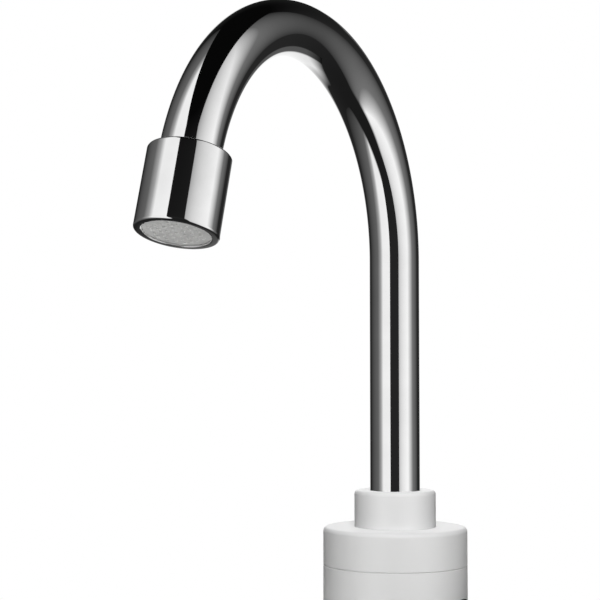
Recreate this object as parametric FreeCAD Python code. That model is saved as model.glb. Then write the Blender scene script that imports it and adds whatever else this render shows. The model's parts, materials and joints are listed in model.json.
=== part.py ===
import FreeCAD, Part
import math
import os

# Instant hot water tap, in millimetres.
# The deck plane is z = 0, the body's axis is Z, the spout points along -Y and the handle's axis along +X.

V = FreeCAD.Vector
X = V(1, 0, 0)
Y = V(0, 1, 0)
Z = V(0, 0, 1)

# Sizes of the outside, scaled on a 20 mm spout tube
pipe_od = 20.0
pipe_wall = 0.8
bend_radius = 77.6
bend_angle = 163.5
riser_length = 96.7
body_od = 57.6
body_wall = 2.6
collar_od = 32.6
collar_height = 14.5
collar_edge = 1.6
cap_height = 14.8
cap_thickness = 2.8
cap_edge = 1.8
seam_z = 85.2
seam_gap = 0.2
seam_bevel = 0.6
aerator_od = 27.2
aerator_length = 27.1
bezel_od = 40.0
bezel_drop = 12.2
bezel_flange = 2.3
bezel_depth = 2.0
bezel_gap = 0.8

# Sizes of the foot and the inlet
gasket_thickness = 2.0
gasket_inset = 1.0
foot_rim = 1.5
foot_height = 6.0
foot_floor = 4.0
plug_height = 5.0
base_screw_inset = 6.2
boss_r = 3.4
boss_height = 18.0
base_screw_length = 12.0
shank_r = 10.48
shank_drop = 58.0
shank_bore_r = 6.5
shank_flange_gap = 0.8
shank_flange_thickness = 4.0
shank_spigot_r = 9.0
shank_spigot_length = 22.0
deck_thickness = 19.0
rubber_washer_r = 19.0
rubber_washer_thickness = 3.0
steel_washer_r = 18.5
steel_washer_thickness = 1.5
nut_height = 10.0
nut_across_flats = 30.0

# Sizes of the valve and the handle
pocket_r = 9.5
valve_wall = 2.2
pocket_depth = 17.0
port_offset = 4.0
port_r = 1.8
disc_r = 7.5
disc_thickness = 2.6
spindle_r = 4.0
spindle_reach = 12.0
hub_r = 15.5
hub_length = 19.0
lever_length = 46.0

# Sizes of the heater
tank_gap = 4.2
tank_wall = 2.0
tank_floor = 3.0
lid_thickness = 3.0
spigot_r = 13.0
spigot_bore_r = 9.0
element_r = 2.0
element_loop_gap = 8.0
element_leg_gap = 3.8
element_step = 7.0

# Sizes of the flow switch and the electrics
membrane_thickness = 0.8
switch_cover_length = 6.7
plunger_travel = 0.7
switch_gap = 1.4
switch_stand = 2.0
microswitch_length = 12.8
microswitch_depth = 6.5
microswitch_thickness = 5.8
microswitch_pitch = 5.08
gland_z = 24.0
gland_bore_r = 4.1
gland_thread_r = 6.4
block_width = 20.0
block_depth = 8.5
block_pitch = 6.5
block_height = 16.0

# Clearances
touch = 0.05
fit = 0.1
loose = 0.3

# Places worked out from the sizes
body_r = body_od / 2
body_in = body_r - body_wall
pipe_r = pipe_od / 2
pipe_in = pipe_r - pipe_wall
foot_top = gasket_thickness + foot_height
foot_in = gasket_thickness + foot_floor
foot_r = body_r + foot_rim
base_screw_r = body_in - base_screw_inset
shank_flange_r = base_screw_r - boss_r - shank_flange_gap
bezel_r = bezel_od / 2
handle_z = seam_z - bezel_drop - bezel_r
valve_r = pocket_r + valve_wall
valve_top = handle_z + valve_r
tank_out = body_in - tank_gap
tank_r = tank_out - tank_wall
element_loop_r = tank_r - element_loop_gap
element_leg_r = tank_r - element_leg_gap
mouth_x = tank_out
pocket_floor_x = mouth_x - pocket_depth
switch_x = microswitch_depth - (body_in - switch_gap)
cover_end = switch_x + switch_stand
membrane_x = cover_end + switch_cover_length
valve_end_x = membrane_x + membrane_thickness
tank_base_z = valve_top + 0.5
tank_in_z = tank_base_z + tank_floor
lid_top = seam_z + 1.3
lid_base = lid_top - lid_thickness
cap_top = seam_z + cap_height
cap_under = cap_top - cap_thickness
collar_top = cap_top + collar_height
collar_lip = 2.8
slip_ring_thickness = 1.5
ferrule_flange = 2.3
ring_top = collar_top - collar_lip - loose
ring_base = ring_top - slip_ring_thickness
flange_top = ring_base - 0.2
flange_base = flange_top - ferrule_flange
spigot_top = flange_base - loose
tube_base = flange_top + touch
bend_z = tube_base + riser_length
spout_end = V(0, -bend_radius * (1 - math.cos(math.radians(bend_angle))), 0)
spout_end.z = bend_z + bend_radius * math.sin(math.radians(bend_angle))

os.makedirs("parts", exist_ok=True)


def save(name, shapes):
    if isinstance(shapes, list):
        solids = [one for shape in shapes for one in shape.Solids]
        shape = Part.makeCompound(solids)
    else:
        shape = shapes
        if len(shape.Solids) == 1:
            shape = shape.Solids[0]
    print(name, len(shape.Solids), "solids", round(shape.Volume, 1), "mm3", shape.isValid())
    shape.exportStep("parts/" + name + ".step")


def rod_x(r, x0, x1, y=0.0, z=0.0):
    return Part.makeCylinder(r, x1 - x0, V(x0, y, z), X)


def rod_y(r, y0, y1, x=0.0, z=0.0):
    return Part.makeCylinder(r, y1 - y0, V(x, y0, z), Y)


def rod_z(r, z0, z1, x=0.0, y=0.0):
    return Part.makeCylinder(r, z1 - z0, V(x, y, z0), Z)


def box(x0, x1, y0, y1, z0, z1):
    return Part.makeBox(x1 - x0, y1 - y0, z1 - z0, V(x0, y0, z0))


def tube_z(r_in, r_out, z0, z1, x=0.0, y=0.0):
    return rod_z(r_out, z0, z1, x, y).cut(rod_z(r_in, z0 - 1, z1 + 1, x, y))


def rounded_wire(points):
    # Each point is (r, z) or (r, z, corner radius).
    count = len(points)
    corners = [V(p[0], 0, p[1]) for p in points]
    starts = []
    ends = []
    middles = []
    for i in range(count):
        here = corners[i]
        radius = points[i][2] if len(points[i]) > 2 else 0.0
        back = (corners[i - 1] - here).normalize()
        ahead = (corners[(i + 1) % count] - here).normalize()
        if radius == 0.0:
            starts.append(here)
            ends.append(here)
            middles.append(None)
            continue
        half = back.getAngle(ahead) / 2
        reach = radius / math.tan(half)
        inward = (back + ahead).normalize()
        starts.append(here + back * reach)
        ends.append(here + ahead * reach)
        middles.append(here + inward * (radius / math.sin(half) - radius))
    edges = []
    for i in range(count):
        if middles[i] is not None:
            edges.append(Part.Arc(starts[i], middles[i], ends[i]).toShape())
        follow = starts[(i + 1) % count]
        if (follow - ends[i]).Length > 1e-6:
            edges.append(Part.makeLine(ends[i], follow))
    return Part.Wire(edges)


def turned(points):
    face = Part.Face(rounded_wire(points))
    return face.revolve(V(0, 0, 0), Z, 360)


def on_valve_axis(shape):
    # Turns a shape made about Z so that its Z runs along +X on the handle's axis.
    moved = shape.copy()
    moved.Placement = FreeCAD.Placement(V(0, 0, handle_z), FreeCAD.Rotation(Y, 90))
    return moved


def at_spout_end(shape):
    # Carries a shape made about Z to the end of the bend, with its Z along the water's way out.
    moved = shape.copy()
    moved.Placement = FreeCAD.Placement(spout_end, FreeCAD.Rotation(X, bend_angle))
    return moved


def hexagon(across_flats, z0, z1, bore_r, turn=0.0):
    corner = across_flats / math.sqrt(3)
    corners = []
    for i in range(7):
        angle = math.radians(60 * i + turn)
        corners.append(V(corner * math.cos(angle), corner * math.sin(angle), z0))
    solid = Part.Face(Part.makePolygon(corners)).extrude(V(0, 0, z1 - z0))
    return solid.cut(rod_z(bore_r, z0 - 1, z1 + 1))


def around(count, start, radius):
    places = []
    for i in range(count):
        angle = math.radians(start + 360.0 * i / count)
        places.append((radius * math.cos(angle), radius * math.sin(angle)))
    return places


# Foot: gasket, cover and screws
base_screws_at = around(4, 45, base_screw_r)
screw_head_z = gasket_thickness + 2.2
boss_base = foot_in + 0.2
boss_top = boss_base + boss_height


def base_gasket():
    return tube_z(shank_r + 1.5, foot_r - gasket_inset, 0, gasket_thickness)


def base_cover():
    plug_r = body_in - loose
    solid = turned([
        (shank_r + 0.4, gasket_thickness),
        (foot_r, gasket_thickness, 0.4),
        (foot_r, foot_top, 1.2),
        (plug_r, foot_top),
        (plug_r, foot_top + plug_height, 0.5),
        (plug_r - 2.1, foot_top + plug_height, 0.5),
        (plug_r - 2.1, foot_in),
        (shank_r + 0.4, foot_in),
    ])
    for x, y in base_screws_at:
        solid = solid.cut(rod_z(3.2, gasket_thickness - 1, screw_head_z, x, y))
        solid = solid.cut(rod_z(1.7, gasket_thickness - 1, foot_in + 1, x, y))
    return solid


def base_screws():
    screws = []
    for x, y in base_screws_at:
        head = rod_z(2.8, screw_head_z - 1.9, screw_head_z, x, y)
        stem = rod_z(1.45, screw_head_z - 1.0, screw_head_z + base_screw_length, x, y)
        slot = box(x - 2.0, x + 2.0, y - 0.4, y + 0.4, screw_head_z - 2.5, screw_head_z - 1.1)
        cross = box(x - 0.4, x + 0.4, y - 2.0, y + 2.0, screw_head_z - 2.5, screw_head_z - 1.1)
        screws.append(head.fuse(stem).cut(slot).cut(cross))
    return screws


# Body: shell, cap and the dark bezel round the handle
shell_base = foot_top + 0.2
shell_top = seam_z - seam_gap / 2
block_front = -(body_in - 2.7)
block_base = boss_top + 0.5
gland_pad_out = body_r + 0.8
gland_pad_in = body_in - 2.2
gland_pad_r = gland_thread_r + 3.1


def body_shell():
    solid = turned([
        (body_in, shell_base),
        (body_r, shell_base, 0.5),
        (body_r, shell_top - seam_bevel),
        (body_r - seam_bevel, shell_top),
        (body_in, shell_top),
    ])
    pad = rod_y(gland_pad_r, gland_pad_in, gland_pad_out, 0, gland_z)
    solid = solid.fuse(pad)
    for x, y in base_screws_at:
        boss = rod_z(boss_r, boss_base, boss_top, x, y)
        rib = box(base_screw_r, body_in + 1, -1.2, 1.2, foot_top + plug_height + loose, boss_top)
        rib.rotate(V(0, 0, 0), Z, math.degrees(math.atan2(y, x)))
        solid = solid.fuse(boss).fuse(rib)
        solid = solid.cut(rod_z(1.5, boss_base - 1, boss_top - 4.0, x, y))
    shelf = box(-6, 6, -(body_in + 1), block_front, block_base + 2, block_base + block_height - 2)
    solid = solid.fuse(shelf)
    solid = solid.cut(rod_y(gland_thread_r + fit, 0, body_r + 5, 0, gland_z))
    solid = solid.cut(rod_x(bezel_r + fit, 0, body_r + 5, 0, handle_z))
    return solid.removeSplitter()


def top_cap():
    solid = turned([
        (spigot_r + 0.2, cap_under),
        (body_in, cap_under, 1.0),
        (body_in, seam_z - seam_gap / 2 + touch),
        (body_r - 1.3, seam_z - seam_gap / 2 + touch),
        (body_r - 1.3, seam_z + seam_gap / 2),
        (body_r, seam_z + seam_gap / 2, 0.25),
        (body_r, cap_top, cap_edge),
        (spigot_r + 0.2, cap_top),
    ])
    return solid


def handle_bezel():
    flange_r = bezel_r + bezel_flange
    low = handle_z - flange_r - 1
    high = handle_z + flange_r + 1
    skin = tube_z(body_in - bezel_depth, body_r, low, high)
    seat = tube_z(body_in - bezel_depth, body_in - fit, low, high)
    ring = rod_x(bezel_r, 0, body_r + 5, 0, handle_z)
    flange = rod_x(flange_r, 0, body_r + 5, 0, handle_z)
    solid = skin.common(ring).fuse(seat.common(flange))
    solid = solid.cut(rod_x(hub_r + bezel_gap, 0, body_r + 5, 0, handle_z))
    return solid.removeSplitter()


# Spout joint: collar, ferrule, rings and the bent tube
ferrule_tail = 15.0
ferrule_reach = 11.0
ferrule_bore_r = 6.4
ferrule_base = spigot_top - ferrule_tail
spout_rings_at = [ferrule_base + 3.0, ferrule_base + 8.0]
spout_ring_section = 0.95


def spout_collar():
    return turned([
        (spigot_r + 0.15, cap_top + touch),
        (collar_od / 2, cap_top + touch, 0.3),
        (collar_od / 2, collar_top, collar_edge),
        (pipe_r + fit, collar_top, 0.3),
        (pipe_r + fit, collar_top - collar_lip),
        (spigot_r + 0.15, collar_top - collar_lip),
    ])


def spout_ferrule():
    tail = spigot_bore_r - fit
    solid = turned([
        (ferrule_bore_r, ferrule_base),
        (tail, ferrule_base, 0.6),
        (tail, flange_base),
        (spigot_r - 0.5, flange_base, 0.3),
        (spigot_r - 0.5, flange_top, 0.3),
        (pipe_in - touch, flange_top),
        (pipe_in - touch, flange_top + ferrule_reach, 0.6),
        (ferrule_bore_r, flange_top + ferrule_reach),
    ])
    floor = spigot_bore_r - 2 * spout_ring_section - 2 * touch
    for z in spout_rings_at:
        solid = solid.cut(tube_z(floor, tail + 1, z - 1.1, z + 1.1))
    return solid


def spout_o_rings():
    centre = spigot_bore_r - touch - spout_ring_section
    return [Part.makeTorus(centre, spout_ring_section, V(0, 0, z), Z) for z in spout_rings_at]


def spout_slip_ring():
    ring = tube_z(pipe_r + 0.2, spigot_r - 0.2, ring_base, ring_top)
    return ring.cut(box(-1.2, 1.2, 0, spigot_r + 2, ring_base - 1, ring_top + 1))


tube_tail = 13.0


def spout_tube():
    riser = tube_z(pipe_in, pipe_r, tube_base, bend_z)
    outer = Part.Wire(Part.makeCircle(pipe_r, V(0, 0, bend_z), Z))
    inner = Part.Wire(Part.makeCircle(pipe_in, V(0, 0, bend_z), Z))
    section = Part.Face([outer, inner])
    bend = section.revolve(V(0, -bend_radius, bend_z), X, bend_angle)
    tail = at_spout_end(tube_z(pipe_in, pipe_r, 0, tube_tail))
    return riser.fuse(bend).fuse(tail).removeSplitter()


# Spout end: fitting, housing, gasket, insert and outlet screen
fitting_r = aerator_od / 2 - 2.0
housing_bore = fitting_r + fit
housing_top = -1.7
housing_end = housing_top + aerator_length
lip_in = housing_end - 1.2
lip_r = fitting_r - 0.4
screen_base = lip_in - 1.3
insert_base = tube_tail + 3.3
outlet_pitch = 2.35
outlet_hole_r = 0.55


def spout_end_fitting():
    return at_spout_end(turned([
        (pipe_r + touch, housing_top + 0.3),
        (fitting_r, housing_top + 0.3, 0.3),
        (fitting_r, tube_tail + 1.2, 0.3),
        (pipe_in - 0.6, tube_tail + 1.2),
        (pipe_in - 0.6, tube_tail + touch),
        (pipe_r + touch, tube_tail + touch),
    ]))


def aerator_housing():
    return at_spout_end(turned([
        (housing_bore, housing_top, 0.3),
        (aerator_od / 2, housing_top, 0.8),
        (aerator_od / 2, housing_end, 0.8),
        (lip_r, housing_end, 0.4),
        (lip_r, lip_in),
        (housing_bore, lip_in),
    ]))


def aerator_gasket():
    return at_spout_end(tube_z(pipe_in - 0.6, fitting_r - 0.05, tube_tail + 1.25, insert_base - touch))


def hex_grid(pitch, reach):
    places = []
    rows = int(reach / (pitch * math.sqrt(3) / 2)) + 1
    for row in range(-rows, rows + 1):
        y = row * pitch * math.sqrt(3) / 2
        for col in range(-2 * rows, 2 * rows + 1):
            x = col * pitch + (row % 2) * pitch / 2
            if math.hypot(x, y) <= reach:
                places.append((x, y))
    return places


def aerator_insert():
    solid = turned([
        (0, insert_base),
        (fitting_r - 0.1, insert_base, 0.3),
        (fitting_r - 0.1, screen_base - touch, 0.3),
        (fitting_r - 2.0, screen_base - touch),
        (fitting_r - 2.0, insert_base + 2.5, 0.5),
        (0, insert_base + 2.5),
    ])
    holes = [rod_z(0.9, insert_base - 1, insert_base + 4, x, y) for x, y in around(12, 0, 6.5)]
    return at_spout_end(solid.cut(Part.makeCompound(holes)))


def outlet_screen():
    face = lip_in + 0.2
    solid = turned([
        (0, screen_base),
        (fitting_r - 0.1, screen_base, 0.2),
        (fitting_r - 0.1, lip_in - touch),
        (lip_r - 0.1, lip_in - touch),
        (lip_r - 0.1, face, 0.15),
        (0, face),
    ])
    places = hex_grid(outlet_pitch, lip_r - 1.3)
    holes = [rod_z(outlet_hole_r, screen_base - 1, face + 1, x, y) for x, y in places]
    return at_spout_end(solid.cut(Part.makeCompound(holes)))


# Heater: tank, lid, seal, screws, element and cut-out
rim_r = body_in - loose
flange_z = lid_base - 3.0
tank_screws_at = around(6, 30, rim_r - 2.0)
tank_ring_section = 0.8
tank_ring_r = tank_out - 0.2
nipple_x = pocket_floor_x - 4.5
nipple_r = 3.2
nipple_end = valve_top - 5.0
nipple_ring_z = nipple_end + 2.2
leg_angles = [70.0, 110.0]
legs_at = []
for leg_angle in leg_angles:
    leg_turn = math.radians(leg_angle)
    legs_at.append((element_leg_r * math.cos(leg_turn), element_leg_r * math.sin(leg_turn)))
leg_end = tank_base_z - 6.0
seal_flange = 1.0


def tank_cup():
    solid = turned([
        (0, tank_base_z),
        (tank_out, tank_base_z, 1.0),
        (tank_out, flange_z),
        (rim_r, flange_z),
        (rim_r, lid_base),
        (tank_r, lid_base),
        (tank_r, tank_in_z, 1.5),
        (0, tank_in_z),
    ])
    solid = solid.fuse(rod_z(nipple_r, nipple_end, tank_base_z + 1, nipple_x, 0))
    solid = solid.cut(rod_z(nipple_r - 1.6, nipple_end - 1, tank_in_z + 1, nipple_x, 0))
    groove = tube_z(nipple_r - 1.1, nipple_r + 1, nipple_ring_z - 0.65, nipple_ring_z + 0.65, nipple_x, 0)
    solid = solid.cut(groove)
    seat = tank_ring_section + touch
    solid = solid.cut(tube_z(tank_ring_r - seat, tank_ring_r + seat, lid_base - 1.65, lid_base + 1))
    for x, y in tank_screws_at:
        solid = solid.cut(rod_z(1.15, flange_z - 1, lid_base + 1, x, y))
    for x, y in legs_at:
        solid = solid.cut(rod_z(element_r + 1.6, tank_base_z - 1, tank_in_z + 1, x, y))
    return solid.removeSplitter()


def port_o_ring():
    return Part.makeTorus(nipple_r - 0.45, 0.5, V(nipple_x, 0, nipple_ring_z), Z)


def tank_lid():
    solid = turned([
        (spigot_bore_r, lid_base, 0.5),
        (rim_r, lid_base),
        (rim_r, lid_top, 0.5),
        (spigot_r + 3.5, lid_top, 1.0),
        (spigot_r + 3.5, cap_under - fit, 0.3),
        (spigot_r, cap_under - fit),
        (spigot_r, spigot_top, 0.5),
        (spigot_bore_r, spigot_top, 0.5),
    ])
    for x, y in tank_screws_at:
        solid = solid.cut(rod_z(1.35, lid_base - 1, lid_top + 1, x, y))
    return solid


def tank_o_ring():
    return Part.makeTorus(tank_ring_r, tank_ring_section, V(0, 0, lid_base - tank_ring_section), Z)


def tank_screws():
    screws = []
    for x, y in tank_screws_at:
        head = rod_z(1.9, lid_top, lid_top + 1.7, x, y)
        stem = rod_z(1.1, lid_base - 2.8, lid_top + 0.5, x, y)
        socket = hexagon(1.6, lid_top + 0.8, lid_top + 3, 0.01)
        socket.translate(V(x, y, 0))
        screws.append(head.fuse(stem).cut(socket))
    return screws


def heating_element():
    # Two loops, one above the other, joined by an upright return bend, with both legs at the back.
    low = tank_in_z + 3.6
    high = low + element_step
    bend = 4.0
    lean = math.degrees(math.acos(element_loop_r / element_leg_r))
    touch_low = leg_angles[0] - lean
    touch_high = leg_angles[1] - lean
    turn_at = touch_low - 230.0
    run = math.sqrt(element_leg_r ** 2 - element_loop_r ** 2)

    def at(radius, angle, z):
        return V(radius * math.cos(math.radians(angle)), radius * math.sin(math.radians(angle)), z)

    def along(angle):
        return V(math.sin(math.radians(angle)), -math.cos(math.radians(angle)), 0)

    def leg(point, angle, z):
        # Foot of the leg, the bend's start, middle and end, and the point where the line meets the loop.
        way = along(angle)
        foot = point - way * run
        start = V(foot.x, foot.y, z - bend)
        end = V(foot.x, foot.y, z) + way * bend
        corner = V(foot.x, foot.y, z - bend) + way * bend
        middle = corner + (Z - way).normalize() * bend
        return start, middle, end

    a = leg(at(element_loop_r, touch_low, low), touch_low, low)
    b = leg(at(element_loop_r, touch_high, high), touch_high, high)
    low_in = at(element_loop_r, touch_low, low)
    low_mid = at(element_loop_r, (touch_low + turn_at) / 2, low)
    low_out = at(element_loop_r, turn_at, low)
    high_in = at(element_loop_r, turn_at, high)
    high_mid = at(element_loop_r, (touch_high + turn_at) / 2, high)
    high_out = at(element_loop_r, touch_high, high)
    turn_mid = (low_out + high_in) * 0.5 + along(turn_at) * (element_step / 2)
    edges = [
        Part.makeLine(V(a[0].x, a[0].y, leg_end), a[0]),
        Part.Arc(a[0], a[1], a[2]).toShape(),
        Part.makeLine(a[2], low_in),
        Part.Arc(low_in, low_mid, low_out).toShape(),
        Part.Arc(low_out, turn_mid, high_in).toShape(),
        Part.Arc(high_in, high_mid, high_out).toShape(),
        Part.makeLine(high_out, b[2]),
        Part.Arc(b[2], b[1], b[0]).toShape(),
        Part.makeLine(b[0], V(b[0].x, b[0].y, leg_end)),
    ]
    path = Part.Wire(edges)
    section = Part.Wire(Part.makeCircle(element_r, V(a[0].x, a[0].y, leg_end), Z))
    return path.makePipeShell([section], True, False)


def element_seals():
    seals = []
    for x, y in legs_at:
        sleeve = tube_z(element_r + touch, element_r + 1.5, tank_base_z - seal_flange, tank_in_z, x, y)
        flange = tube_z(element_r + touch, element_r + 2.4, tank_base_z - seal_flange, tank_base_z, x, y)
        seals.append(sleeve.fuse(flange).removeSplitter())
    return seals


def element_nuts():
    nuts = []
    for x, y in legs_at:
        nut = hexagon(7.6, tank_base_z - seal_flange - 2.4, tank_base_z - seal_flange, element_r + touch, 30)
        nut.translate(V(x, y, 0))
        nuts.append(nut)
    return nuts


def element_terminals():
    tabs = []
    for x, y in legs_at:
        pin = rod_z(0.9, leg_end - 3.0, leg_end, x, y)
        tab = box(x - 2.4, x + 2.4, y - 0.4, y + 0.4, leg_end - 10.0, leg_end - 1.5)
        tab = tab.cut(rod_y(0.8, y - 2, y + 2, x, leg_end - 7.0))
        tabs.append(pin.fuse(tab))
    return tabs


cutout_half = 9.0
cutout_y = -(tank_out - 1.4)


def thermal_cutout():
    solid = box(-cutout_half, cutout_half, cutout_y, cutout_y + 6.0, tank_base_z - 4.5, tank_base_z)
    solid = solid.makeFillet(0.8, [e for e in solid.Edges if abs(e.BoundBox.ZLength - 4.5) < 0.01])
    for x in (-cutout_half - 3.0, cutout_half - 1.0):
        tab = box(x, x + 4.0, cutout_y + 1.8, cutout_y + 4.2, tank_base_z - 2.6, tank_base_z - 2.0)
        solid = solid.fuse(tab)
    return solid.removeSplitter()


# Valve: body, cartridge, discs and spindle
neck_r = shank_spigot_r + 2.6
neck_base = foot_in + shank_flange_thickness + 10.0
spigot_end = foot_in + shank_flange_thickness + shank_spigot_length
neck_top = handle_z - valve_r - 0.5
inlet_z = handle_z - port_offset
outlet_z = handle_z + port_offset
recess_r = 7.4
recess_x = valve_end_x + 1.4
cover_screw_r = valve_r - 1.8
cover_screws_at = around(4, 45, cover_screw_r)
seal_x = pocket_floor_x + 1.0
moving_x = seal_x + disc_thickness + 0.02
drive_x = moving_x + disc_thickness + touch
web_x = drive_x + 1.75
cartridge_end = mouth_x - 3.9
cartridge_nose = mouth_x + 3.8
cartridge_r = pocket_r - fit
hub_x = mouth_x + 4.0
spindle_end = hub_x + spindle_reach
spindle_ring_x = web_x + 3.0


def valve_body():
    solid = rod_x(valve_r, valve_end_x, mouth_x, 0, handle_z)
    link = rod_z(neck_r, neck_top - 1, handle_z).common(box(valve_end_x, mouth_x, -40, 40, 0, handle_z))
    solid = solid.fuse(rod_z(neck_r, neck_base, neck_top)).fuse(link)
    solid = solid.cut(rod_x(pocket_r, pocket_floor_x, mouth_x + 1, 0, handle_z))
    solid = solid.cut(rod_x(recess_r, valve_end_x - 1, recess_x, 0, handle_z))
    solid = solid.cut(rod_z(shank_spigot_r + fit, neck_base - 1, spigot_end + 0.2))
    solid = solid.cut(rod_z(port_r - 0.3, spigot_end - 1, inlet_z + 0.7, nipple_x, 0))
    solid = solid.cut(rod_x(port_r, nipple_x - 0.9, pocket_floor_x + 1, 0, inlet_z))
    solid = solid.cut(rod_x(port_r, nipple_x - 0.9, pocket_floor_x + 1, 0, outlet_z))
    solid = solid.cut(rod_x(0.8, recess_x - 1, nipple_x, 0, outlet_z))
    solid = solid.cut(rod_z(port_r - 0.3, outlet_z - 0.7, nipple_end, nipple_x, 0))
    solid = solid.cut(rod_z(nipple_r + fit, nipple_end - 0.2, valve_top + 1, nipple_x, 0))
    for y, z in cover_screws_at:
        solid = solid.cut(rod_x(0.9, valve_end_x - 1, valve_end_x + 6.0, y, handle_z + z))
    return solid.removeSplitter()


def cartridge_seal():
    pad = rod_x(cartridge_r - 0.3, pocket_floor_x, seal_x, 0, handle_z)
    for z in (inlet_z, outlet_z):
        pad = pad.cut(rod_x(port_r, pocket_floor_x - 1, seal_x + 1, 0, z))
    return pad


def cartridge_body():
    return on_valve_axis(turned([
        (disc_r + fit, seal_x),
        (cartridge_r, seal_x, 0.3),
        (cartridge_r, cartridge_end, 0.3),
        (6.2, cartridge_end),
        (6.2, cartridge_nose, 0.3),
        (spindle_r + fit, cartridge_nose),
        (spindle_r + fit, web_x),
        (disc_r + fit, web_x),
    ]))


def cartridge_nut():
    head = hexagon(21.0, mouth_x, mouth_x + 3.4, 6.4)
    thread = tube_z(6.4, cartridge_r, cartridge_end + touch, mouth_x + 0.5)
    return on_valve_axis(head.fuse(thread).removeSplitter())


def fixed_disc():
    disc = rod_x(disc_r, seal_x, seal_x + disc_thickness, 0, handle_z)
    for z in (inlet_z, outlet_z):
        disc = disc.cut(rod_x(port_r, seal_x - 1, seal_x + disc_thickness + 1, 0, z))
    return disc


def moving_disc():
    # The groove lies flat when the tap is shut and joins the two ports when the handle is turned.
    disc = rod_x(disc_r, moving_x, moving_x + disc_thickness, 0, handle_z)
    depth = disc_thickness / 2
    low = handle_z - port_r
    high = handle_z + port_r
    groove = box(moving_x - 1, moving_x + depth, -port_offset, port_offset, low, high)
    for y in (-port_offset, port_offset):
        groove = groove.fuse(rod_x(port_r, moving_x - 1, moving_x + depth, y, handle_z))
    return disc.cut(groove)


def valve_spindle():
    solid = turned([
        (0, drive_x),
        (disc_r - 0.2, drive_x, 0.2),
        (disc_r - 0.2, web_x - 0.15, 0.2),
        (spindle_r, web_x - 0.15),
        (spindle_r, spindle_ring_x - 0.9),
        (spindle_r - 1.2, spindle_ring_x - 0.9),
        (spindle_r - 1.2, spindle_ring_x + 0.9),
        (spindle_r, spindle_ring_x + 0.9),
        (spindle_r, spindle_end, 0.4),
        (0, spindle_end),
    ])
    solid = solid.cut(rod_z(2.0, spindle_end - 9.0, spindle_end + 1))
    return on_valve_axis(solid)


def spindle_o_ring():
    ring = Part.makeTorus(spindle_r - 0.5, 0.55, V(0, 0, spindle_ring_x), Z)
    return on_valve_axis(ring)


# Handle: lever with its hub, screw and cap
hub_end = hub_x + hub_length
screw_seat = spindle_end + 2.0
cap_seat = hub_end - 2.0
cap_r = 7.0
skirt_x = tank_out + 0.4
skirt_r = hub_r - 2.3


def handle_lever():
    hub = on_valve_axis(turned([
        (spindle_r + touch, hub_x),
        (skirt_r, hub_x),
        (skirt_r, skirt_x),
        (hub_r, skirt_x, 0.3),
        (hub_r, hub_end, 2.5),
        (cap_r, hub_end, 0.2),
        (cap_r, cap_seat),
        (5.0, cap_seat),
        (5.0, screw_seat),
        (2.2, screw_seat),
        (2.2, spindle_end + 0.2),
        (spindle_r + touch, spindle_end + 0.2),
    ]))
    mid = hub_x + hub_length * 0.6
    stations = [
        (-hub_r * 0.55, 6.8, 4.6, 0.0),
        (-lever_length * 0.55, 6.0, 3.9, 1.2),
        (-lever_length * 0.80, 5.6, 3.3, 2.8),
        (-lever_length, 5.2, 2.8, 4.6),
    ]
    sections = []
    for y, high, thick, out in stations:
        oval = Part.Ellipse(V(0, 0, 0), high, thick).toShape()
        oval.Placement = FreeCAD.Placement(V(mid + out, y, handle_z), FreeCAD.Rotation(Z, X, Y, "ZXY"))
        sections.append(Part.Wire(oval))
    arm = Part.makeLoft(sections, True, False)
    tip = [edge for edge in arm.Edges if edge.BoundBox.YMax < 0.1 - lever_length]
    arm = arm.makeFillet(1.3, tip)
    arm = arm.cut(rod_x(hub_r - 4.0, hub_x - 5, hub_end + 5, 0, handle_z))
    return hub.fuse(arm).removeSplitter()


def handle_screw():
    head = turned([
        (0, screw_seat - 1.0),
        (1.95, screw_seat - 1.0),
        (1.95, screw_seat),
        (3.6, screw_seat),
        (3.6, screw_seat + 2.2, 0.8),
        (0, screw_seat + 2.2),
    ])
    stem = rod_z(1.95, spindle_end - 8.0, screw_seat)
    socket = hexagon(2.5, screw_seat + 0.9, screw_seat + 4, 0.01)
    return on_valve_axis(head.fuse(stem).cut(socket).removeSplitter())


def handle_screw_cap():
    return on_valve_axis(turned([
        (0, cap_seat),
        (cap_r - fit, cap_seat, 0.2),
        (cap_r - fit, hub_end + 0.3, 0.5),
        (0, hub_end + 0.3),
    ]))


# Flow switch: membrane, cover, plunger, spring and microswitch
cavity_end = cover_end + 1.3
plunger_head_x = membrane_x - touch
head_thickness = 1.55
button_length = 2.9
button_x = switch_x + plunger_travel + 0.25
button_end = button_x - button_length
stem_end = button_x + touch


def switch_membrane():
    return rod_x(recess_r + 0.9, membrane_x, valve_end_x, 0, handle_z)


def membrane_cover():
    solid = rod_x(valve_r, cover_end, membrane_x, 0, handle_z)
    solid = solid.cut(rod_x(recess_r - 1.0, cavity_end, membrane_x + 1, 0, handle_z))
    solid = solid.cut(rod_x(2.0 + fit, cover_end - 1, membrane_x + 1, 0, handle_z))
    rim = rod_x(valve_r, membrane_x, valve_end_x, 0, handle_z)
    rim = rim.cut(rod_x(recess_r + 1.0, membrane_x - 1, valve_end_x + 1, 0, handle_z))
    solid = solid.fuse(rim)
    half = microswitch_length / 2
    low = handle_z - microswitch_thickness / 2
    high = handle_z + microswitch_thickness / 2
    for side in (-1, 1):
        y0 = side * (half + fit)
        y1 = side * (half + 2.0)
        arm = box(switch_x - 4.5, membrane_x - 0.5, min(y0, y1), max(y0, y1), low, high)
        solid = solid.fuse(arm)
    for y, z in cover_screws_at:
        solid = solid.cut(rod_x(1.1, cover_end - 1, valve_end_x + 1, y, handle_z + z))
    return solid.removeSplitter()


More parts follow.
